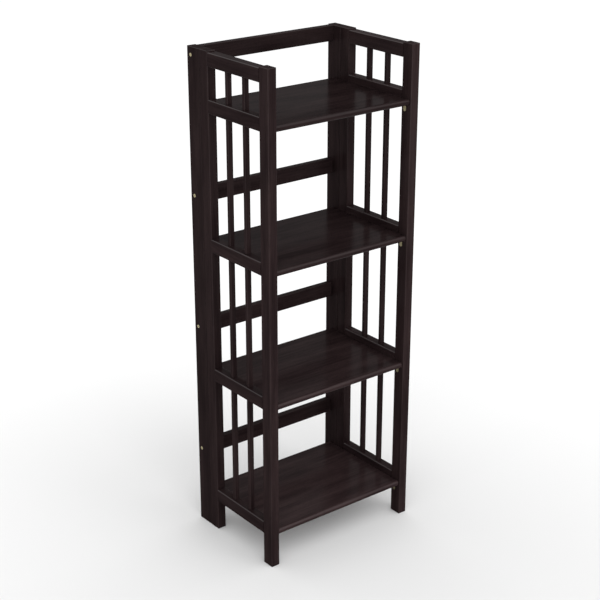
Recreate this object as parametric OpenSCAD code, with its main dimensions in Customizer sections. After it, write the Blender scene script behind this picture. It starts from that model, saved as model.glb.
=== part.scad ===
// Folding bookstand rack. A back frame of two posts and four slats carries two
// slatted side frames on hinges, and four shelves that lift up between the posts.
// Millimetres, +Z up, front towards -Y, origin on the floor under the middle.
// Pieces of both sides are drawn for the right-hand side (+X) and mirrored.

/* [Overall] */
// Width over the outer faces of the side frames
rack_w = 406; // [360:1:480]
// Depth from the front of the legs to the back of the posts
rack_d = 286; // [260:1:340]
// Height of the posts, stiles and legs
rack_h = 1143; // [1080:1:1240]
// Thickness of the frame timber, measured across the rack
frame_t = 22; // [20:0.5:26]

/* [Back frame] */
// Depth of each back post
post_d = 45; // [44:1:56]
// Height of each back slat
slat_h = 36; // [26:1:50]
// Thickness of each back slat
slat_t = 15; // [12:0.5:17]
// Set-back of the slats from the back of the posts
slat_inset = 6; // [2:0.5:8]
// Height of the slats' top edge above the underside of the shelf below it
slat_rise = 134; // [110:1:170]

/* [Side frames] */
// Depth of each front leg
leg_d = 31; // [26:1:45]
// Depth of each hinged stile
stile_d = 29; // [26:1:45]
// Open seam between a stile and its back post
seam_gap = 1; // [0.6:0.1:1.6]
// Height of each side rail
rail_h = 31; // [24:1:40]
// Drop of the top rail below the top of the leg
rail_drop = 2.5; // [0:0.5:10]
// Width of the upright bars between the rails, front to back
bar_w = 9; // [7:0.5:14]
// Thickness of the upright bars, across the rack
bar_t = 12; // [8:0.5:15]

/* [Joinery] */
// Length of the rail tenons in the stile and the leg
tenon_l = 12; // [8:1:16]
// Thickness of the rail tenons
tenon_t = 9; // [7:0.5:11]
// Shoulder above and below each tenon
tenon_shoulder = 5; // [3:0.5:7]
// Depth of the sockets that hold the upright bars
socket_l = 6; // [4:0.5:9]
// Clearance round each tenon, bar end, peg and screw
fit = 0.05; // [0.02:0.01:0.1]

/* [Rounded edges] */
// Rounding of the legs, stiles and posts
edge_r = 2.5; // [2:0.5:6]
// Rounding of the edges that meet at the seam
seam_r = 0.8; // [0.4:0.1:1.5]
// Rounding of the rails
rail_r = 3; // [1:0.5:5]
// Rounding of the back slats
slat_r = 2; // [1:0.5:4]
// Rounding of the upright bars
bar_r = 1.5; // [0.5:0.1:2.5]
// Rounding of the end grain of the uprights
end_r = 1.5; // [0.5:0.1:3]

/* [Shelves] */
// Thickness of each shelf
shelf_t = 14; // [12:0.5:16]
// Height of the bottom shelf's underside above the floor
shelf_base = 75; // [70:1:120]
// Set-back of the shelves from the front of the legs
shelf_setback = 3; // [1:0.5:10]
// Gap between a shelf's end and the frame
side_gap = 1; // [0.5:0.1:2]
// Distance of the pivot from the shelf's back edge
pivot_inset = 12; // [11:0.5:14]
// Rounding of a shelf's back edges
shelf_r = 2; // [1:0.5:4]
// Rounding of the edges at a shelf's ends
shelf_end_r = 1; // [0.5:0.5:2]

/* [Pivot pins] */
// Diameter of the shelf pivot pins
pin_d = 6; // [5:0.5:8]
// Length of each pin inside the post
pin_in_post = 9; // [7:0.5:11]
// Length of each pin inside the shelf
pin_in_shelf = 21; // [15:1:30]
// Running clearance round a pin, on the radius
run_fit = 0.05; // [0.02:0.01:0.1]
// Clearance at the bottom of a pin's hole in the post
pin_end_gap = 0.5; // [0.2:0.1:1]

/* [Shelf rests] */
// Width of each shelf rest
rest_w = 8; // [6:0.5:12]
// Thickness of the rest's metal
rest_t = 1.5; // [1:0.1:2]
// Drop of the rest's plate below the shelf
rest_drop = 15; // [13:1:24]
// Reach of the rest's tongue under the shelf
rest_reach = 12; // [8:1:16]
// Rounding of the free corners of the rest's tongue
rest_r = 2; // [1:0.5:3]
// Distance of the rest's middle from the front of the leg
rest_back = 19; // [14:0.5:22]
// Diameter of the rest's peg
rest_peg_d = 5; // [4:0.5:6]
// Length of the rest's peg
rest_peg_l = 11; // [8:1:14]

/* [Slat screws] */
// Shank diameter of the screws that hold the slats
slat_screw_d = 4; // [3:0.5:5]
// Head diameter of the slat screws
slat_screw_head_d = 8; // [7:0.5:9]
// Length of the slat screws
slat_screw_l = 45; // [38:1:55]

/* [Hinges] */
// Height of each hinge
hinge_l = 50; // [40:1:56]
// Width of each hinge leaf
leaf_w = 16; // [13:0.5:18]
// Thickness of each hinge leaf
leaf_t = 1.5; // [1.2:0.1:2]
// Number of knuckles on each hinge
knuckles = 5; // [3:2:7]
// Diameter of the hinge knuckles
knuckle_d = 5.2; // [4.6:0.1:6]
// Diameter of the hinge pin
hinge_pin_d = 2.6; // [2:0.1:3]
// Drop of each hinge's top below its shelf
hinge_drop = 14; // [8:1:20]
// Shank diameter of the hinge screws
hinge_screw_d = 2.6; // [2:0.1:3]
// Head diameter of the hinge screws
hinge_screw_head_d = 5; // [4:0.1:6]
// Length of the hinge screws
hinge_screw_l = 14; // [10:1:18]

/* [Hidden] */
SIDES = ["left", "right"];
TIERS = [1, 2, 3, 4]; // shelves and back slats, from the top down
RAILS = [1, 2, 3, 4, 5]; // side rails, from the top down
HINGED_TIERS = [1, 2, 4]; // shelves with a hinge below them on each side

wood = [0.17, 0.11, 0.10];
brass = [0.78, 0.67, 0.36];
steel = [0.62, 0.61, 0.58];
$fn = 48;
over = 1; // how far a cut starts outside the piece

// Planes across the rack (X), on the right-hand side
x_out = rack_w / 2;
x_mid = x_out - frame_t / 2;
x_in = x_out - frame_t;
shelf_end = x_in - side_gap;

// Planes from front to back (Y)
y_front = -rack_d / 2;
y_back = rack_d / 2;
post_front = y_back - post_d;
seam_mid = post_front - seam_gap / 2;
stile_back = post_front - seam_gap;
stile_front = stile_back - stile_d;
leg_back = y_front + leg_d;
rail_l = stile_front - leg_back;
slat_front = y_back - slat_inset - slat_t;
slat_mid = slat_front + slat_t / 2;
shelf_front = y_front + shelf_setback;
shelf_back = slat_front;
pivot_y = shelf_back - pivot_inset;
rest_y = y_front + rest_back;
rest_bend_r = rest_t + 0.5; // outer radius of the rest's bend

// Heights (Z)
tier_pitch = (rack_h - slat_rise - shelf_base) / (len(TIERS) - 1);
function shelf_z(i) = shelf_base + (len(TIERS) - i) * tier_pitch;
function pivot_z(i) = shelf_z(i) + shelf_t / 2;
function slat_z(i) = shelf_z(i) + slat_rise - slat_h;
function rail_z(i) = i == 1 ? rack_h - rail_drop - rail_h : shelf_z(i - 1);
function hinge_z(i) = shelf_z(i) - hinge_drop - hinge_l;

// Hinge proportions
knuckle_gap = 0.2;
leaf_gap = 0.2;
hinge_screw_inset = 10; // from each end of a leaf
hinge_axis_x = x_in - knuckle_d / 2;
pin_head = 1.2; // how far a hinge pin's button ends stand out

// A timber section with rounded corners, centred; r1 rounds the -Y corners, r2 the +Y ones
module section(w, d, r1, r2) {
    translate([-w / 2, -d / 2 + r1]) square([w, d - r1 - r2]);
    translate([-w / 2 + r1, -d / 2]) square([w - 2 * r1, d / 2]);
    translate([-w / 2 + r2, 0]) square([w - 2 * r2, d / 2]);
    for (x = [-1, 1]) {
        translate([x * (w / 2 - r1), -d / 2 + r1]) circle(r1);
        translate([x * (w / 2 - r2), d / 2 - r2]) circle(r2);
    }
}

// Turns a profile in the XZ plane into a bar along Y, from y1 to y2
module along_y(y1, y2) {
    translate([0, y2, 0]) rotate([90, 0, 0]) linear_extrude(y2 - y1) children();
}

// Turns a profile in the YZ plane into a bar along X, from x1 to x2
module along_x(x1, x2) {
    translate([x1, 0, 0]) rotate([90, 0, 90]) linear_extrude(x2 - x1) children();
}

// Draws its children on the right, or mirrored on the left
module on(side) {
    if (side == "left") mirror([1, 0, 0]) children();
    else children();
}

// A full-height upright from y1 to y2, with its end grain eased
module upright(y1, y2, r1, r2) {
    y = (y1 + y2) / 2;
    d = y2 - y1;
    intersection() {
        translate([x_mid, y, 0]) linear_extrude(rack_h) section(frame_t, d, r1, r2);
        translate([0, y, rack_h / 2]) along_x(x_in, x_out) section(d, rack_h, end_r, end_r);
        translate([x_mid, 0, rack_h / 2]) along_y(y1, y2) section(frame_t, rack_h, end_r, end_r);
    }
}

// A countersunk wood screw, head at the origin, point towards -Z; grow enlarges it for its hole
module wood_screw(d, head_d, l, grow = 0) {
    r = d / 2 + grow;
    head_r = head_d / 2 + grow;
    rotate_extrude() polygon([
        [0, 0], [head_r, 0], [r, r - head_r], [r, d - l - grow], [0, -l - grow]
    ]);
}

// The slat screw of one tier, driven through the post from outside
module slat_screw(i, grow = 0) {
    translate([x_out, slat_mid, slat_z(i) + slat_h / 2]) rotate([0, 90, 0])
        wood_screw(slat_screw_d, slat_screw_head_d, slat_screw_l, grow);
}

// Tenons at both ends of a side rail; grow enlarges them for their mortises
module rail_tenons(i, grow = 0) {
    t = tenon_t + 2 * grow;
    h = rail_h - 2 * tenon_shoulder + 2 * grow;
    l = tenon_l + grow;
    for (y = [leg_back - l, stile_front])
        translate([x_mid - t / 2, y, rail_z(i) + rail_h / 2 - h / 2]) cube([t, l, h]);
}

// The front or rear upright bar of one bay; grow enlarges it for its sockets
module side_bar(i, third, grow = 0) {
    y = leg_back + rail_l * third / 3;
    low = rail_z(i + 1) + rail_h - socket_l - grow;
    high = rail_z(i) + socket_l + grow;
    translate([x_mid, y, low]) linear_extrude(high - low)
        section(bar_t + 2 * grow, bar_w + 2 * grow, bar_r + grow, bar_r + grow);
}

// Hinge screws of one side; lean is 1 into the post and -1 into the stile
module leaf_screws(lean, grow = 0) {
    for (i = HINGED_TIERS, z = [hinge_screw_inset, hinge_l - hinge_screw_inset])
        translate([x_in + leaf_w / 2, seam_mid + lean * leaf_gap / 2, hinge_z(i) + z])
            rotate([lean * 90, 0, 0])
                wood_screw(hinge_screw_d, hinge_screw_head_d, hinge_screw_l, grow);
}

// Shallow mortises for the hinge leaves; lean as above
module leaf_mortises(lean) {
    depth = leaf_t + leaf_gap / 2 + fit;
    for (i = HINGED_TIERS)
        translate([x_in - over, seam_mid - (lean < 0 ? depth : 0), hinge_z(i) - fit])
            cube([over + leaf_w + fit, depth, hinge_l + 2 * fit]);
}

// One hinge leaf; first is its lowest knuckle, lean as above
module leaf(i, first, lean) {
    knuckle_l = (hinge_l - (knuckles - 1) * knuckle_gap) / knuckles;
    low_y = lean > 0 ? leaf_gap / 2 : -leaf_gap / 2 - leaf_t;
    translate([hinge_axis_x, seam_mid, hinge_z(i)]) difference() {
        union() {
            translate([knuckle_d / 2 + knuckle_gap, low_y, 0])
                cube([leaf_w - knuckle_gap, leaf_t, hinge_l]);
            for (k = [first : 2 : knuckles - 1]) translate([0, 0, k * (knuckle_l + knuckle_gap)]) {
                cylinder(h = knuckle_l, d = knuckle_d);
                translate([0, low_y, 0]) cube([knuckle_d, leaf_t, knuckle_l]);
            }
        }
        translate([0, 0, -over])
            cylinder(h = hinge_l + 2 * over, d = hinge_pin_d + 2 * run_fit);
    }
}

module back_post(side) {
    color(wood) on(side) difference() {
        upright(post_front, y_back, seam_r, edge_r);
        for (i = TIERS) {
            slat_screw(i, fit);
            translate([x_in - over, pivot_y, pivot_z(i)]) rotate([0, 90, 0])
                cylinder(h = over + pin_in_post + pin_end_gap, d = pin_d + 2 * run_fit);
        }
        leaf_mortises(1);
        leaf_screws(1, fit);
    }
}

module back_slat(i) {
    color(wood) difference() {
        translate([0, slat_mid, slat_z(i) + slat_h / 2]) along_x(-x_in, x_in)
            section(slat_t, slat_h, slat_r, slat_r);
        for (side = SIDES) on(side) slat_screw(i, fit);
    }
}

module slat_screws(side) {
    color(brass) on(side) for (i = TIERS) slat_screw(i);
}

module stile(side) {
    color(wood) on(side) difference() {
        upright(stile_front, stile_back, edge_r, seam_r);
        for (i = RAILS) rail_tenons(i, fit);
        leaf_mortises(-1);
        leaf_screws(-1, fit);
    }
}

module leg(side) {
    color(wood) on(side) difference() {
        upright(y_front, leg_back, edge_r, edge_r);
        for (i = RAILS) rail_tenons(i, fit);
        for (i = TIERS) rest_peg(i, fit);
    }
}

module rail(side, i) {
    color(wood) on(side) difference() {
        union() {
            translate([x_mid, 0, rail_z(i) + rail_h / 2]) along_y(leg_back, stile_front)
                section(frame_t, rail_h, rail_r, rail_r);
            rail_tenons(i);
        }
        for (third = [1, 2]) {
            if (i > 1) side_bar(i - 1, third, fit);
            if (i < len(RAILS)) side_bar(i, third, fit);
        }
    }
}

module hinge_leaves(side, first, lean) {
    color(brass) on(side) difference() {
        for (i = HINGED_TIERS) leaf(i, first, lean);
        leaf_screws(lean, fit);
    }
}

module hinge_pins(side) {
    r = hinge_pin_d / 2;
    color(brass) on(side) for (i = HINGED_TIERS)
        translate([hinge_axis_x, seam_mid, hinge_z(i)]) rotate_extrude() polygon([
            [0, -pin_head], [r, -pin_head], [knuckle_d / 2, -knuckle_gap], [r, -knuckle_gap],
            [r, hinge_l + knuckle_gap], [knuckle_d / 2, hinge_l + knuckle_gap],
            [r, hinge_l + pin_head], [0, hinge_l + pin_head]
        ]);
}

module hinge_screws(side) {
    color(brass) on(side) {
        leaf_screws(1);
        leaf_screws(-1);
    }
}

// The peg that holds a shelf rest in the leg; grow enlarges it for its hole
module rest_peg(i, grow = 0) {
    translate([x_in - rest_t / 2, rest_y, shelf_z(i) - rest_drop / 2]) rotate([0, 90, 0])
        cylinder(h = rest_peg_l + rest_t / 2 + grow, d = rest_peg_d + 2 * grow);
}

module shelf_rests(side) {
    color(brass) on(side) for (i = TIERS) {
        rest_peg(i);
        translate([0, 0, shelf_z(i)]) {
            rest_tongue();
            rest_bend();
            rest_plate();
        }
    }
}

// The tongue under the shelf, with its free corners rounded
module rest_tongue() {
    translate([x_in - rest_bend_r, rest_y, -rest_t]) linear_extrude(rest_t) {
        l = rest_reach - rest_bend_r;
        translate([rest_r - l, -rest_w / 2]) square([l - rest_r, rest_w]);
        translate([-l, rest_r - rest_w / 2]) square([rest_r, rest_w - 2 * rest_r]);
        for (y = [-1, 1]) translate([rest_r - l, y * (rest_w / 2 - rest_r)]) circle(rest_r);
    }
}

// The bend between the tongue and the plate, a quarter of a ring
module rest_bend() {
    translate([x_in - rest_bend_r, 0, -rest_bend_r])
        along_y(rest_y - rest_w / 2, rest_y + rest_w / 2) intersection() {
            square(rest_bend_r);
            difference() {
                circle(rest_bend_r);
                circle(rest_bend_r - rest_t);
            }
        }
}

// The plate on the leg, with a round lower end
module rest_plate() {
    translate([0, rest_y, 0]) along_x(x_in - rest_t, x_in) {
        translate([-rest_w / 2, rest_w / 2 - rest_drop])
            square([rest_w, rest_drop - rest_w / 2 - rest_bend_r]);
        translate([0, rest_w / 2 - rest_drop]) circle(d = rest_w);
    }
}

// Shelf section in the YZ plane: a full bullnose at the front, eased edges at the back
module shelf_section() {
    nose_r = shelf_t / 2;
    translate([shelf_front + nose_r, nose_r]) circle(nose_r);
    translate([shelf_front + nose_r, 0])
        square([shelf_back - shelf_r - shelf_front - nose_r, shelf_t]);
    translate([shelf_back - shelf_r, shelf_r]) square([shelf_r, shelf_t - 2 * shelf_r]);
    for (z = [shelf_r, shelf_t - shelf_r]) translate([shelf_back - shelf_r, z]) circle(shelf_r);
}

module shelf(i) {
    y = (shelf_front + shelf_back) / 2;
    d = shelf_back - shelf_front;
    color(wood) difference() {
        translate([0, 0, shelf_z(i)]) intersection() {
            along_x(-shelf_end, shelf_end) shelf_section();
            translate([0, 0, shelf_t / 2]) along_y(shelf_front, shelf_back)
                section(2 * shelf_end, shelf_t, shelf_end_r, shelf_end_r);
            translate([0, y, 0]) linear_extrude(shelf_t)
                section(2 * shelf_end, d, shelf_end_r, shelf_end_r);
        }
        for (side = SIDES) on(side) shelf_pin(i, fit);
    }
}

// The pivot pin at one end of a shelf; grow enlarges it for its hole in the shelf
module shelf_pin(i, grow = 0) {
    translate([shelf_end - pin_in_shelf - grow, pivot_y, pivot_z(i)]) rotate([0, 90, 0])
        cylinder(h = pin_in_shelf + side_gap + pin_in_post + grow, d = pin_d + 2 * grow);
}

module shelf_pins(i) {
    color(steel) for (side = SIDES) on(side) shelf_pin(i);
}

for (side = SIDES) {
    back_post(side);
    slat_screws(side);
    stile(side);
    leg(side);
    for (i = RAILS) rail(side, i);
    for (i = TIERS) {
        color(wood) on(side) side_bar(i, 1);
        color(wood) on(side) side_bar(i, 2);
    }
    hinge_leaves(side, 0, 1);
    hinge_leaves(side, 1, -1);
    hinge_pins(side);
    hinge_screws(side);
    shelf_rests(side);
}
for (i = TIERS) {
    back_slat(i);
    shelf(i);
    shelf_pins(i);
}
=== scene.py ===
import math
import random

import bmesh
import bpy
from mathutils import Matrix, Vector


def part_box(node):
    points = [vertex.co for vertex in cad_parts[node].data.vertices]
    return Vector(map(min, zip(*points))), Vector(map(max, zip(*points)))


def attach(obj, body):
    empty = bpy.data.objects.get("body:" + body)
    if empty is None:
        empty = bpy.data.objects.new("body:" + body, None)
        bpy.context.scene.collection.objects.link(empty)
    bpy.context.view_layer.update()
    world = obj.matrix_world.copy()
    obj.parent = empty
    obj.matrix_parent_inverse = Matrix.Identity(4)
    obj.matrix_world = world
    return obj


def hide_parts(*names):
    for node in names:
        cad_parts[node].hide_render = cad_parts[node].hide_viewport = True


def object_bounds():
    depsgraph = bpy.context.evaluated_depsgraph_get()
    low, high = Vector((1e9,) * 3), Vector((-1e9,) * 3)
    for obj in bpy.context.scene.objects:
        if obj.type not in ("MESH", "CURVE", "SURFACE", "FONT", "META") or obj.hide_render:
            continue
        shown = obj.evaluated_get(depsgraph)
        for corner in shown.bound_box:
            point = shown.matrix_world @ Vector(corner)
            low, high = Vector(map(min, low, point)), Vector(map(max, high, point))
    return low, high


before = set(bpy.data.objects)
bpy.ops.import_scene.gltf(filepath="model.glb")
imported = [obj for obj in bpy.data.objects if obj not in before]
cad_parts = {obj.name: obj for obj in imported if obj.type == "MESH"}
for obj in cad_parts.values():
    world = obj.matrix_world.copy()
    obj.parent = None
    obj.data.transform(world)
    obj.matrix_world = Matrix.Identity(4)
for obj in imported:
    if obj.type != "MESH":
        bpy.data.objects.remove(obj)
cad_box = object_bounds()


# ---------------------------------------------------------------- back posts
# Two full-height posts of plantation hardwood, planed, eased at the corners and stained a
# very dark espresso, then sprayed with satin lacquer. All the timber has this finish, so
# its shader group is built here.
SIDES = ("left", "right")
POST_TONE = 0.82


def put(tree, kind, inputs=None, **settings):
    """Adds a node with its settings; each input is a value, or a socket to join it to."""
    made = tree.nodes.new(kind)
    for name, value in settings.items():
        setattr(made, name, value)
    for key, value in (inputs or {}).items():
        if isinstance(value, bpy.types.NodeSocket):
            tree.links.new(value, made.inputs[key])
        else:
            made.inputs[key].default_value = value
    return made


def maths(tree, operation, *values):
    """One step of arithmetic on numbers."""
    return put(tree, "ShaderNodeMath", dict(enumerate(values)), operation=operation).outputs[0]


def vectors(tree, operation, *values):
    """One step of arithmetic on vectors."""
    made = put(tree, "ShaderNodeVectorMath", dict(enumerate(values)), operation=operation)
    return made.outputs["Value" if operation == "LENGTH" else "Vector"]


def split(tree, vector):
    """The three parts of a vector."""
    return put(tree, "ShaderNodeSeparateXYZ", {0: vector}).outputs


def fade(tree, value, start, full):
    """A mask that rises smoothly from 0 to 1 as the value goes from start to full."""
    return put(tree, "ShaderNodeMapRange", {"Value": value, "From Min": start, "From Max": full},
               interpolation_type="SMOOTHSTEP").outputs[0]


def tint(tree, factor, first, second):
    """Mixes two colours. Sockets 0, 6 and 7 of a colour Mix are its factor, A and B."""
    return put(tree, "ShaderNodeMix", {0: factor, 6: first, 7: second}, data_type="RGBA").outputs[2]


def mottle(tree, place, pace, detail=2.0, roughness=0.5):
    """Noise from 0 to 1 that changes at its own pace along each axis."""
    spread = vectors(tree, "MULTIPLY", place, pace)
    return put(tree, "ShaderNodeTexNoise", {"Vector": spread, "Scale": 1.0, "Detail": detail,
                                            "Roughness": roughness}).outputs["Fac"]


def add_shares(tree, total, masks, shares):
    """Adds to the total each mask times its share."""
    for name, share in shares.items():
        total = maths(tree, "MULTIPLY_ADD", masks[name], share, total)
    return total


def shader_group(name, sockets_in, sockets_out):
    """An empty shader group with its sockets, and its two end nodes."""
    group = bpy.data.node_groups.new(name, "ShaderNodeTree")
    for label, kind in sockets_in:
        group.interface.new_socket(label, in_out="INPUT", socket_type=kind)
    for label, kind in sockets_out:
        group.interface.new_socket(label, in_out="OUTPUT", socket_type=kind)
    return group, put(group, "NodeGroupInput"), put(group, "NodeGroupOutput")


# How quickly each part of the grain changes in a metre, along the timber and across it
WANDER_PACE = (4.5, 16.0, 16.0)
TONE_PACE = (5.0, 30.0, 30.0)
STREAK_PACE = (9.0, 130.0, 130.0)
FIBRE_PACE = (26.0, 900.0, 900.0)
PORE_PACE = (85.0, 1900.0, 1900.0)
FROM_PITH = (0.0, 0.045, 0.08)  # metres from the pith of the log to the piece
RING_WANDER = 0.03  # metres that the rings stray by

# Where a mask starts and where it is full, on its noise or its ring's wave
LATE_WOOD = (-0.4, 1.0)
MIDDLING = (0.3, 0.7)
PORE_RIM = (0.6, 0.72)


def grain_masks(tree, place, ring_width):
    """The parts of the grain. X of place runs along it, in metres."""
    # The pith lies outside the piece, and the rings round it wander slowly along the grain
    across = vectors(tree, "MULTIPLY", place, (0.0, 1.0, 1.0))
    radius = vectors(tree, "LENGTH", vectors(tree, "ADD", across, FROM_PITH))
    wander = mottle(tree, place, WANDER_PACE)
    radius = maths(tree, "ADD", radius, maths(tree, "MULTIPLY", wander, RING_WANDER))
    turns = maths(tree, "DIVIDE", radius, ring_width)
    wave = maths(tree, "SINE", maths(tree, "MULTIPLY", turns, math.tau))

    fibres = mottle(tree, place, FIBRE_PACE, detail=3.0, roughness=0.65)
    return {"rings": fade(tree, wave, *LATE_WOOD),
            "tone": fade(tree, mottle(tree, place, TONE_PACE, detail=3.0), *MIDDLING),
            "streaks": fade(tree, mottle(tree, place, STREAK_PACE, detail=3.0), *MIDDLING),
            "pores": fade(tree, mottle(tree, place, PORE_PACE, detail=1.0), *PORE_RIM),
            "fibres": fibres,
            "fibre_swing": maths(tree, "SUBTRACT", fibres, 0.5)}


# Where a mask of the way that a face looks starts and is full, on parts of its unit normal
EASED = (0.995, 0.86)
END_GRAIN = (0.75, 0.95)
LONG_EDGE = (0.45, 0.1)
TURNED_UP = (0.15, 0.6)
SHORT_OF_LEVEL = (0.93, 0.8)
LEVEL = (0.9, 0.999)


def face_masks(tree, facing, up, upright):
    """Which way a face looks. X of facing is along the grain, and up is the world's."""
    parts = split(tree, vectors(tree, "ABSOLUTE", facing))
    squarest = maths(tree, "MAXIMUM", parts[0], maths(tree, "MAXIMUM", parts[1], parts[2]))
    # Edges that turn up: their stain is painted lighter as a painted highlight, and they take more
    # lacquer
    tilted = maths(tree, "MULTIPLY", fade(tree, up, *TURNED_UP), fade(tree, up, *SHORT_OF_LEVEL))
    long_edge = maths(tree, "MAXIMUM", fade(tree, parts[0], *LONG_EDGE), upright)
    return {"eased": fade(tree, squarest, *EASED),
            "end_grain": fade(tree, parts[0], *END_GRAIN),
            "upturned_edge_highlight": maths(tree, "MULTIPLY", tilted, long_edge),
            "level": fade(tree, up, *LEVEL)}


# The stain runs from dark to thinned: the grain moves it from its usual thinness, end grain
# drinks it and eased edges shed it. Eased edges are also painted lighter as a painted highlight,
# and edges that turn up get a painted highlight, a lighter stain where the light would catch them
USUAL_THINNESS = 0.335
GRAIN_THINS = {"tone": 0.5, "streaks": 0.28, "fibre_swing": 0.4, "rings": -0.12}
FACE_STAIN_AND_PAINTED_HIGHLIGHT = {"eased": 0.2, "upturned_edge_highlight": 0.12, "end_grain": -0.05}
PORE_COLOUR = (0.004, 0.003, 0.003, 1.0)
PORE_DEPTH = 0.55

# The lacquer is thickest and shiniest where it settled, on level faces and eased edges, and
# thinnest on end grain, which soaks it up
THIN_LACQUER = 0.035
LACQUER_SETTLES = {"level": 0.037, "eased": 0.12}
END_GRAIN_SOAKS = 0.6
SHEEN_LOST = {"fibre_swing": 0.16, "pores": 0.12, "end_grain": 0.2}
GRAIN_RAISED = {"fibres": 0.5, "pores": -0.8, "streaks": 0.25}


def build_timber():
    """The stain and lacquer of a solid piece of timber."""
    group, given, result = shader_group(
        "stained timber",
        [("Place", "NodeSocketVector"), ("Facing", "NodeSocketVector"), ("Up", "NodeSocketFloat"),
         ("Dark stain", "NodeSocketColor"), ("Thin stain", "NodeSocketColor"),
         ("Ring width", "NodeSocketFloat"), ("Figure", "NodeSocketFloat"),
         ("Upright", "NodeSocketFloat"), ("Edge lacquer", "NodeSocketFloat")],
        [("Colour", "NodeSocketColor"), ("Sheen loss", "NodeSocketFloat"),
         ("Relief", "NodeSocketFloat"), ("Build-up", "NodeSocketFloat")])
    told = given.outputs
    masks = grain_masks(group, told["Place"], told["Ring width"])
    masks |= face_masks(group, told["Facing"], told["Up"], told["Upright"])

    thin_and_highlight = add_shares(group, 0.0, masks, GRAIN_THINS)
    thin_and_highlight = maths(group, "MULTIPLY_ADD", maths(group, "SUBTRACT", thin_and_highlight, USUAL_THINNESS),
                 told["Figure"], USUAL_THINNESS)
    # Eased edges are painted lighter, partly as wear and partly as a painted highlight; edges that
    # turn up get a painted highlight
    thin_and_highlight = add_shares(group, thin_and_highlight, masks, FACE_STAIN_AND_PAINTED_HIGHLIGHT)
    thin_and_highlight = maths(group, "MAXIMUM", maths(group, "MINIMUM", thin_and_highlight, 1.0), 0.0)
    colour = tint(group, thin_and_highlight, told["Dark stain"], told["Thin stain"])
    colour = tint(group, maths(group, "MULTIPLY", masks["pores"], PORE_DEPTH), colour, PORE_COLOUR)

    build_up = add_shares(group, THIN_LACQUER, masks, LACQUER_SETTLES)
    build_up = maths(group, "MULTIPLY_ADD", masks["upturned_edge_highlight"], told["Edge lacquer"], build_up)
    kept = maths(group, "MULTIPLY_ADD", masks["end_grain"], -END_GRAIN_SOAKS, 1.0)
    group.links.new(colour, result.inputs["Colour"])
    group.links.new(add_shares(group, 0.0, masks, SHEEN_LOST), result.inputs["Sheen loss"])
    group.links.new(add_shares(group, 0.0, masks, GRAIN_RAISED), result.inputs["Relief"])
    group.links.new(maths(group, "MULTIPLY", build_up, kept), result.inputs["Build-up"])
    return group


TIMBER = build_timber()
ALONG_GRAIN = {"x": (0, 1, 2), "y": (1, 0, 2), "z": (2, 0, 1)}  # the axes, the grain's own first


def along_grain(tree, vector, grain):
    """Reorders a vector so that its X runs along the grain."""
    parts = split(tree, vector)
    return put(tree, "ShaderNodeCombineXYZ",
               {place: parts[axis] for place, axis in enumerate(ALONG_GRAIN[grain])}).outputs[0]


def new_material(name, shine=0.5, metallic=0.0):
    """A material, its node tree and its Principled shader, with its plain values set."""
    material = bpy.data.materials.new(name)
    material.use_nodes = True
    shader = material.node_tree.nodes["Principled BSDF"]
    shader.inputs["Metallic"].default_value = metallic
    shader.inputs["Specular IOR Level"].default_value = shine
    return material, material.node_tree, shader


DARK_STAIN = (0.0116, 0.0068, 0.0072)
THIN_STAIN = (0.0358, 0.0228, 0.0230)
FIGURE = 0.75  # how strongly the grain shows
RING_W = 0.0045
BARE_WOOD_SHINE = 0.0  # all the shine is the lacquer's
SATIN = 0.30
THICK_LACQUER_SATIN = 0.20
EDGE_LACQUER = 0.35
GRAIN_BUMP = {"Strength": 0.22, "Distance": 0.0003}

# Each piece is cut from its own place in the log, and each board of a panel from another
LOG_REACH = 5.0
BOARD_JUMP = (3.7, 1.9, 2.3)
BATCH_SPREAD = 0.03


def stained_wood(piece, grain, tone, ring_width=RING_W, edge_lacquer=EDGE_LACQUER, board=None):
    """The espresso finish for one piece.

    tone is how light the stain came out, edge_lacquer how much lies on the edges that face
    up, and board the width of the boards that a glued-up panel is made of."""
    pick = random.Random(piece)
    cut = [pick.uniform(-LOG_REACH, LOG_REACH) for axis in range(3)]
    # For the slats, rails and shelves the tone also holds painted light and shade
    shade = tone * pick.uniform(1.0 - BATCH_SPREAD, 1.0 + BATCH_SPREAD)
    material, tree, shader = new_material(f"espresso_{piece}", BARE_WOOD_SHINE)
    told = put(tree, "ShaderNodeTexCoord").outputs
    place = along_grain(tree, told["Object"], grain)
    if board:
        count = maths(tree, "FLOOR", maths(tree, "DIVIDE", split(tree, place)[1], board))
        jump = put(tree, "ShaderNodeCombineXYZ", {
            axis: maths(tree, "MULTIPLY", count, far) for axis, far in enumerate(BOARD_JUMP)})
        place = vectors(tree, "ADD", place, jump.outputs[0])
    timber = put(tree, "ShaderNodeGroup", {}, node_tree=TIMBER)
    given = {"Place": vectors(tree, "ADD", place, cut),
             "Facing": along_grain(tree, told["Normal"], grain),
             "Up": split(tree, told["Normal"])[2]}
    for label, socket in given.items():
        tree.links.new(socket, timber.inputs[label])
    timber.inputs["Dark stain"].default_value = [c * shade for c in DARK_STAIN] + [1.0]
    timber.inputs["Thin stain"].default_value = [c * shade for c in THIN_STAIN] + [1.0]
    timber.inputs["Ring width"].default_value = ring_width
    timber.inputs["Figure"].default_value = FIGURE
    timber.inputs["Upright"].default_value = 1.0 if grain == "z" else 0.0
    timber.inputs["Edge lacquer"].default_value = edge_lacquer
    bump = put(tree, "ShaderNodeBump", {**GRAIN_BUMP, "Height": timber.outputs["Relief"]})
    tree.links.new(timber.outputs["Colour"], shader.inputs["Base Color"])
    tree.links.new(maths(tree, "ADD", timber.outputs["Sheen loss"], SATIN), shader.inputs["Roughness"])
    tree.links.new(bump.outputs[0], shader.inputs["Normal"])
    tree.links.new(timber.outputs["Build-up"], shader.inputs["Coat Weight"])
    shader.inputs["Coat Roughness"].default_value = THICK_LACQUER_SATIN
    return material


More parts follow.
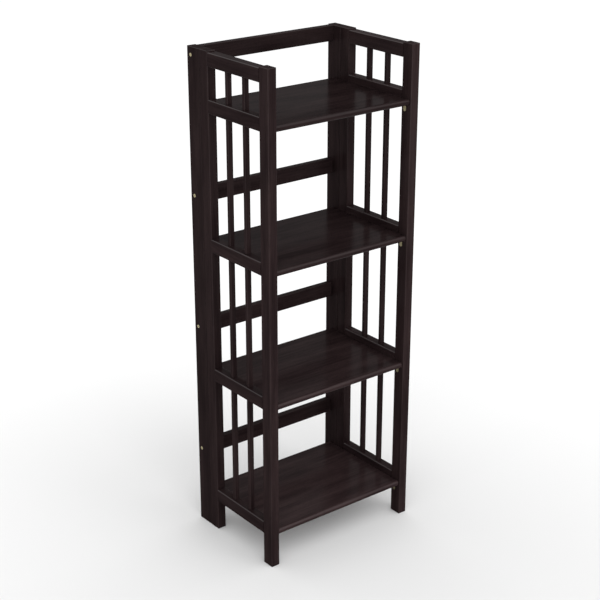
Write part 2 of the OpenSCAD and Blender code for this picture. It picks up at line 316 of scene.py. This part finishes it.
def finish_piece(piece, material):
    """Gives one of the solid's pieces its finish."""
    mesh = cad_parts[piece].data
    mesh.materials.clear()
    mesh.materials.append(material)


for side in SIDES:
    finish_piece(f"{side}_back_post", stained_wood(f"{side}_back_post", "z", POST_TONE))


# ---------------------------------------------------------------- back slats
# Four rails of the same timber between the posts. They brace the frame, stop the books, and
# carry the raised shelves, which lean on them.
# Painted light and shade: the top slat, which no shelf shades, is painted darker, and the lower slats,
# shaded by the shelves, are painted lighter
SLAT_TONES_WITH_PAINTED_LIGHT = {1: 0.67, 2: 1.10, 3: 1.08, 4: 1.00}
SLAT_EDGE_LACQUER = 0.12
for tier, tone in SLAT_TONES_WITH_PAINTED_LIGHT.items():
    finish_piece(f"back_slat_{tier}", stained_wood(f"back_slat_{tier}", "x", tone,
                                                   edge_lacquer=SLAT_EDGE_LACQUER))


# --------------------------------------------------------------- slat screws
# Brass-plated countersunk screws with a cross recess, driven through the outer face of each
# post into the end of a slat. One screw is modelled, and each side repeats it up its post.
TIERS = (1, 2, 3, 4)  # from the top down
HEAD_R = 0.0040
SHANK_R = 0.0020
SCREW_L = 0.045
POINT_L = SHANK_R * 2
HEAD_RIM = 0.00025
RECESS_R = 0.0024
RECESS_HALF_W = 0.00055
RECESS_DEPTH = 0.0017
RECESS_TAPER = 0.45
ROUND_STEPS = 48

BRASS = (0.45, 0.40, 0.245)
DULL_BRASS = (0.31, 0.275, 0.17)
BRASS_ROUGHNESS = 0.2
CLOUD_PACE = (240.0, 240.0, 240.0)
CLOUD_RIM = (0.4, 0.75)
ROLLING_PACE = (900.0, 900.0, 5000.0)
CLOUDS_DULL = 0.18
ROLLING_DULLS = 0.08
ROLLING_BUMP = {"Strength": 0.15, "Distance": 0.00005}


def build_metal_wear():
    """Cloudy tarnish and fine rolling marks on a plated metal."""
    group, given, result = shader_group(
        "metal wear",
        [("Bright", "NodeSocketColor"), ("Dull", "NodeSocketColor"),
         ("Least roughness", "NodeSocketFloat")],
        [("Colour", "NodeSocketColor"), ("Roughness", "NodeSocketFloat"),
         ("Relief", "NodeSocketFloat")])
    place = put(group, "ShaderNodeTexCoord").outputs["Object"]
    clouds = fade(group, mottle(group, place, CLOUD_PACE, detail=3.0), *CLOUD_RIM)
    marks = mottle(group, place, ROLLING_PACE)
    group.links.new(tint(group, clouds, given.outputs["Bright"], given.outputs["Dull"]),
                    result.inputs["Colour"])
    rough = maths(group, "MULTIPLY_ADD", clouds, CLOUDS_DULL, given.outputs["Least roughness"])
    rough = maths(group, "MULTIPLY_ADD", marks, ROLLING_DULLS, rough)
    group.links.new(rough, result.inputs["Roughness"])
    group.links.new(marks, result.inputs["Relief"])
    return group


METAL_WEAR = build_metal_wear()


def worn_metal(name, bright, dull, roughness):
    """A plated metal whose colour and roughness drift from bright to dull."""
    material, tree, shader = new_material(name, metallic=1.0)
    wear = put(tree, "ShaderNodeGroup", {}, node_tree=METAL_WEAR)
    wear.inputs["Bright"].default_value = (*bright, 1.0)
    wear.inputs["Dull"].default_value = (*dull, 1.0)
    wear.inputs["Least roughness"].default_value = roughness
    bump = put(tree, "ShaderNodeBump", {**ROLLING_BUMP, "Height": wear.outputs["Relief"]})
    tree.links.new(wear.outputs["Colour"], shader.inputs["Base Color"])
    tree.links.new(wear.outputs["Roughness"], shader.inputs["Roughness"])
    tree.links.new(bump.outputs[0], shader.inputs["Normal"])
    return material


brass_finish = worn_metal("plated_brass", BRASS, DULL_BRASS, BRASS_ROUGHNESS)


def screw_mesh():
    """One screw with its head's face at the origin and its point towards -Z."""
    bm = bmesh.new()
    angles = [math.tau * k / ROUND_STEPS for k in range(ROUND_STEPS)]
    cone_end = SHANK_R - HEAD_R - HEAD_RIM
    profile = [(HEAD_R - HEAD_RIM, 0.0), (HEAD_R, -HEAD_RIM), (SHANK_R, cone_end),
               (SHANK_R, POINT_L - SCREW_L)]
    rings = [[bm.verts.new((radius * math.cos(a), radius * math.sin(a), z)) for a in angles]
             for radius, z in profile]
    tip = bm.verts.new((0.0, 0.0, -SCREW_L))
    for above, below in zip(rings, rings[1:]):
        for k in range(ROUND_STEPS):
            n = (k + 1) % ROUND_STEPS
            bm.faces.new((above[k], below[k], below[n], above[n])).smooth = True
    for k in range(ROUND_STEPS):
        bm.faces.new((rings[-1][k], tip, rings[-1][(k + 1) % ROUND_STEPS])).smooth = True

    # The cross recess: its outline in the face, drawn down and in to a small flat bed
    r, w = RECESS_R, RECESS_HALF_W
    cross = [(r, -w), (r, w), (w, w), (w, r), (-w, r), (-w, w),
             (-r, w), (-r, -w), (-w, -w), (-w, -r), (w, -r), (w, -w)]
    mouth = [bm.verts.new((x, y, 0.0)) for x, y in cross]
    bed = [bm.verts.new((x * RECESS_TAPER, y * RECESS_TAPER, -RECESS_DEPTH)) for x, y in cross]
    for k in range(len(cross)):
        n = (k + 1) % len(cross)
        bm.faces.new((mouth[k], mouth[n], bed[n], bed[k]))
    bm.faces.new(bed)

    # The head's face lies between its rim and the mouth of the recess
    rims = [(rim[k], rim[(k + 1) % len(rim)]) for rim in (rings[0], mouth) for k in range(len(rim))]
    edges = [bm.edges.get(ends) or bm.edges.new(ends) for ends in rims]
    bmesh.ops.triangle_fill(bm, edges=edges, use_beauty=True)
    bmesh.ops.recalc_face_normals(bm, faces=bm.faces)
    mesh = bpy.data.meshes.new("screw")
    bm.to_mesh(mesh)
    bm.free()
    return mesh


def build_row_of_parts():
    """Geometry nodes: copies of the part at even steps, each with the same turn."""
    tree = bpy.data.node_groups.new("row of parts", "GeometryNodeTree")
    for label, kind in (("Part", "NodeSocketGeometry"), ("Count", "NodeSocketInt"),
                        ("First", "NodeSocketVector"), ("Step", "NodeSocketVector"),
                        ("Turn", "NodeSocketVector"), ("Finish", "NodeSocketMaterial")):
        tree.interface.new_socket(label, in_out="INPUT", socket_type=kind)
    tree.interface.new_socket("Row", in_out="OUTPUT", socket_type="NodeSocketGeometry")
    given = put(tree, "NodeGroupInput")
    result = put(tree, "NodeGroupOutput")
    line = put(tree, "GeometryNodeMeshLine", {"Count": given.outputs["Count"],
               "Start Location": given.outputs["First"], "Offset": given.outputs["Step"]})
    turn = put(tree, "FunctionNodeEulerToRotation", {0: given.outputs["Turn"]})
    copies = put(tree, "GeometryNodeInstanceOnPoints", {"Points": line.outputs[0],
                 "Instance": given.outputs["Part"], "Rotation": turn.outputs[0]})
    real = put(tree, "GeometryNodeRealizeInstances", {0: copies.outputs[0]})
    dressed = put(tree, "GeometryNodeSetMaterial", {"Geometry": real.outputs[0],
                                                    "Material": given.outputs["Finish"]})
    tree.links.new(dressed.outputs[0], result.inputs[0])
    return tree


ROW_OF_PARTS = build_row_of_parts()


def plain_mesh(name, source, tree, values):
    """Runs a geometry-node tree on a mesh and returns the result as a plain object."""
    worker = bpy.data.objects.new(name + "_worker", source)
    bpy.context.scene.collection.objects.link(worker)
    modifier = worker.modifiers.new("nodes", "NODES")
    modifier.node_group = tree
    for item in tree.interface.items_tree:
        if item.in_out == "INPUT" and item.name in values:
            modifier[item.identifier] = values[item.name]
    graph = bpy.context.evaluated_depsgraph_get()
    mesh = bpy.data.meshes.new_from_object(worker.evaluated_get(graph))
    mesh.name = name
    bpy.data.objects.remove(worker)
    made = bpy.data.objects.new(name, mesh)
    bpy.context.scene.collection.objects.link(made)
    return made


screw = screw_mesh()
slat_middles = [sum(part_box(f"back_slat_{tier}"), Vector()) / 2 for tier in reversed(TIERS)]
step = Vector((0.0, 0.0, slat_middles[1].z - slat_middles[0].z))
for side, facing in zip(SIDES, (-1, 1)):
    low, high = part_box(f"{side}_back_post")
    outer_face = high.x if facing > 0 else low.x
    first = Vector((outer_face, slat_middles[0].y, slat_middles[0].z))
    screws = plain_mesh(f"{side}_slat_screw_row", screw, ROW_OF_PARTS, {
        "Count": len(TIERS), "First": first, "Step": step,
        "Turn": (0.0, facing * math.pi / 2, 0.0), "Finish": brass_finish})
    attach(screws, "frame")
    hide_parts(f"{side}_slat_screws")


# ----------------------------------------------------------- stiles and legs
# The uprights of each slatted side frame. The stile hangs on the hinges, beside the post,
# and the leg stands at the front.
UPRIGHT_TONES = {"stile": 0.86, "leg": 0.96}
for side in SIDES:
    for part, tone in UPRIGHT_TONES.items():
        finish_piece(f"{side}_{part}", stained_wood(f"{side}_{part}", "z", tone))


# ---------------------------------------------------------------- side rails
# Five cross rails in each side frame, with blind tenons in the stile and the leg. One lies
# beside each shelf, and one closes the top.
# Painted light: the right rails, seen only on their shaded inner faces, are painted lighter than the
# lit left ones
RAIL_TONES_WITH_PAINTED_LIGHT = {"left": 0.84, "right": 1.01}
RAIL_EDGE_LACQUER = 0.6
RAILS = (*TIERS, len(TIERS) + 1)
for side in SIDES:
    for number in RAILS:
        rail = f"{side}_rail_{number}"
        finish_piece(rail, stained_wood(rail, "y", RAIL_TONES_WITH_PAINTED_LIGHT[side],
                                        edge_lacquer=RAIL_EDGE_LACQUER))


# -------------------------------------------------------------- upright bars
# Slim square bars with softened corners, two between each pair of rails, glued into
# sockets. Their grain runs up and down.
BAR_TONE = 0.88
BAR_RING_W = 0.0038
for side in SIDES:
    for tier in TIERS:
        for row in ("front", "rear"):
            bar = f"{side}_{row}_bar_{tier}"
            finish_piece(bar, stained_wood(bar, "z", BAR_TONE, BAR_RING_W))


# -------------------------------------------------------------------- hinges
# Brass butt hinges let in flush across the seam between post and stile, with the knuckles
# on the inside. Each leaf has two countersunk screws.
for side in SIDES:
    for part in ("hinge_post_leaves", "hinge_stile_leaves", "hinge_pins", "hinge_screws"):
        finish_piece(f"{side}_{part}", brass_finish)


# --------------------------------------------------------------- shelf rests
# Small brass brackets on the inner faces of the legs. The lowered shelf's front lies on
# their tongues. The stamped edges are slightly rounded over, and the brass has gone dull.
REST_EDGE_R = 0.00035
REST_EDGE_STEPS = 3
MERGE_GAP = 0.000001
FLAT_ANGLE = math.radians(1.0)
SHARP_ANGLE = math.radians(35.0)
AGED_BRASS = (0.25, 0.22, 0.13)
DULL_AGED_BRASS = (0.18, 0.16, 0.095)
AGED_BRASS_ROUGHNESS = 0.3
rest_finish = worn_metal("aged_brass", AGED_BRASS, DULL_AGED_BRASS, AGED_BRASS_ROUGHNESS)


def softened_copy(piece, name):
    """A merged copy of a piece whose sharp edges are rounded over."""
    bm = bmesh.new()
    bm.from_mesh(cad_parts[piece].data)
    bmesh.ops.remove_doubles(bm, verts=bm.verts, dist=MERGE_GAP)
    bmesh.ops.dissolve_limit(bm, angle_limit=FLAT_ANGLE, verts=bm.verts, edges=bm.edges)
    mesh = bpy.data.meshes.new(name)
    bm.to_mesh(mesh)
    bm.free()
    made = bpy.data.objects.new(name, mesh)
    bpy.context.scene.collection.objects.link(made)
    bevel = made.modifiers.new("rounded over", "BEVEL")
    bevel.width = REST_EDGE_R
    bevel.segments = REST_EDGE_STEPS
    bevel.angle_limit = SHARP_ANGLE
    bevel.harden_normals = True
    return made


for side in SIDES:
    rests = softened_copy(f"{side}_shelf_rests", f"{side}_rest_brackets")
    rests.data.materials.append(rest_finish)
    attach(rests, "frame")
    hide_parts(f"{side}_shelf_rests")


# ------------------------------------------------------------------- shelves
# Four panels glued up from boards whose grain runs across the rack, with a full bullnose
# along the front. Each turns up on two pins near its back edge.
SHELF_BOARD_W = 0.066
SHELF_RING_W = 0.006
SHELF_EDGE_LACQUER = 0.2
# Painted light: each lower shelf is painted lighter than the one above, offsetting the deeper shade in
# the lower bays
SHELF_TONES_WITH_PAINTED_LIGHT = {1: 0.74, 2: 0.86, 3: 1.11, 4: 1.33}
for tier, tone in SHELF_TONES_WITH_PAINTED_LIGHT.items():
    finish_piece(f"shelf_{tier}", stained_wood(f"shelf_{tier}", "x", tone, SHELF_RING_W,
                                               SHELF_EDGE_LACQUER, SHELF_BOARD_W))


# ---------------------------------------------------------------- pivot pins
# Zinc-plated steel dowels that a shelf turns on. They show only in the narrow gap between
# the shelf's end and the post.
ZINC = (0.60, 0.60, 0.58)
DULL_ZINC = (0.42, 0.42, 0.41)
ZINC_ROUGHNESS = 0.28
zinc_finish = worn_metal("zinc_plate", ZINC, DULL_ZINC, ZINC_ROUGHNESS)
for tier in TIERS:
    finish_piece(f"shelf_pins_{tier}", zinc_finish)


# ------------------------------------------------------- floor and backdrop
# A wide white floor that runs out to the backdrop, so that the rack stands on its own soft
# shadow. A wide pool in front of the rack and around it is painted greyer, as painted shade.
FLOOR_HALF = 60.0
PAINTED_SHADE_GREY = (0.715, 0.715, 0.715, 1.0)
FAR_WHITE = (1.0, 1.0, 1.0, 1.0)
PAINTED_SHADE_MIDDLE = (-0.4, -1.0, 0.0)
PAINTED_SHADE_FADE = (0.15, 3.2)  # distances from its middle
FLOOR_ROUGHNESS = 0.9
floor_mesh = bpy.data.meshes.new("floor")
corners = [(-FLOOR_HALF, -FLOOR_HALF, 0.0), (FLOOR_HALF, -FLOOR_HALF, 0.0),
           (FLOOR_HALF, FLOOR_HALF, 0.0), (-FLOOR_HALF, FLOOR_HALF, 0.0)]
floor_mesh.from_pydata(corners, [], [(0, 1, 2, 3)])
floor = bpy.data.objects.new("floor", floor_mesh)
bpy.context.scene.collection.objects.link(floor)
floor_paint, tree, shader = new_material("floor_paint", shine=0.0)
spot = put(tree, "ShaderNodeTexCoord").outputs["Object"]
distance = vectors(tree, "LENGTH", vectors(tree, "SUBTRACT", spot, PAINTED_SHADE_MIDDLE))
# Painted shade: the floor is greyer near the middle of the pool and white beyond it
white = tint(tree, fade(tree, distance, *PAINTED_SHADE_FADE), PAINTED_SHADE_GREY, FAR_WHITE)
tree.links.new(white, shader.inputs["Base Color"])
shader.inputs["Roughness"].default_value = FLOOR_ROUGHNESS
floor_mesh.materials.append(floor_paint)


# --------------------------------------------------------- light and camera
# An even white studio, with one very broad soft lamp above the front, a little to the left.
# The rack is seen from the front left and from above, as in the photograph.
STUDIO_WHITE = (1.0, 1.0, 1.0, 1.0)
STUDIO_LIGHT = 1.0
LAMP_PLACE = (-0.7, -3.4, 2.5)
LAMP_SIDE = 6.5
LAMP_POWER = 150.0
world = bpy.data.worlds.new("studio")
world.use_nodes = True
studio = world.node_tree.nodes["Background"]
studio.inputs["Color"].default_value = STUDIO_WHITE
studio.inputs["Strength"].default_value = STUDIO_LIGHT
bpy.context.scene.world = world

lamp = bpy.data.lights.new("key", "AREA")
lamp.shape = "SQUARE"
lamp.size = LAMP_SIDE
lamp.energy = LAMP_POWER
lamp_holder = bpy.data.objects.new("key", lamp)
lamp_holder.location = LAMP_PLACE
lamp_aim = Vector((0.0, 0.0, cad_box[1].z / 2)) - Vector(LAMP_PLACE)
lamp_holder.rotation_euler = lamp_aim.to_track_quat("-Z", "Y").to_euler()
bpy.context.scene.collection.objects.link(lamp_holder)

CAMERA_PLACE = (-1.83775, -2.34006, 1.76001)
CAMERA_YAW = 0.6629  # radians to the right of straight ahead
CAMERA_PITCH = 0.3840  # radians down
LENS = 84.66  # millimetres, on a sensor 36 wide
SENSOR_W = 36.0
FARTHEST_SEEN = 200.0
lens = bpy.data.cameras.new("camera")
lens.lens = LENS
lens.sensor_width = SENSOR_W
lens.clip_end = FARTHEST_SEEN
camera = bpy.data.objects.new("camera", lens)
camera.location = CAMERA_PLACE
camera.rotation_euler = (math.pi / 2 - CAMERA_PITCH, 0.0, -CAMERA_YAW)
bpy.context.scene.collection.objects.link(camera)
bpy.context.scene.camera = camera
bpy.context.scene.view_settings.view_transform = "Standard"
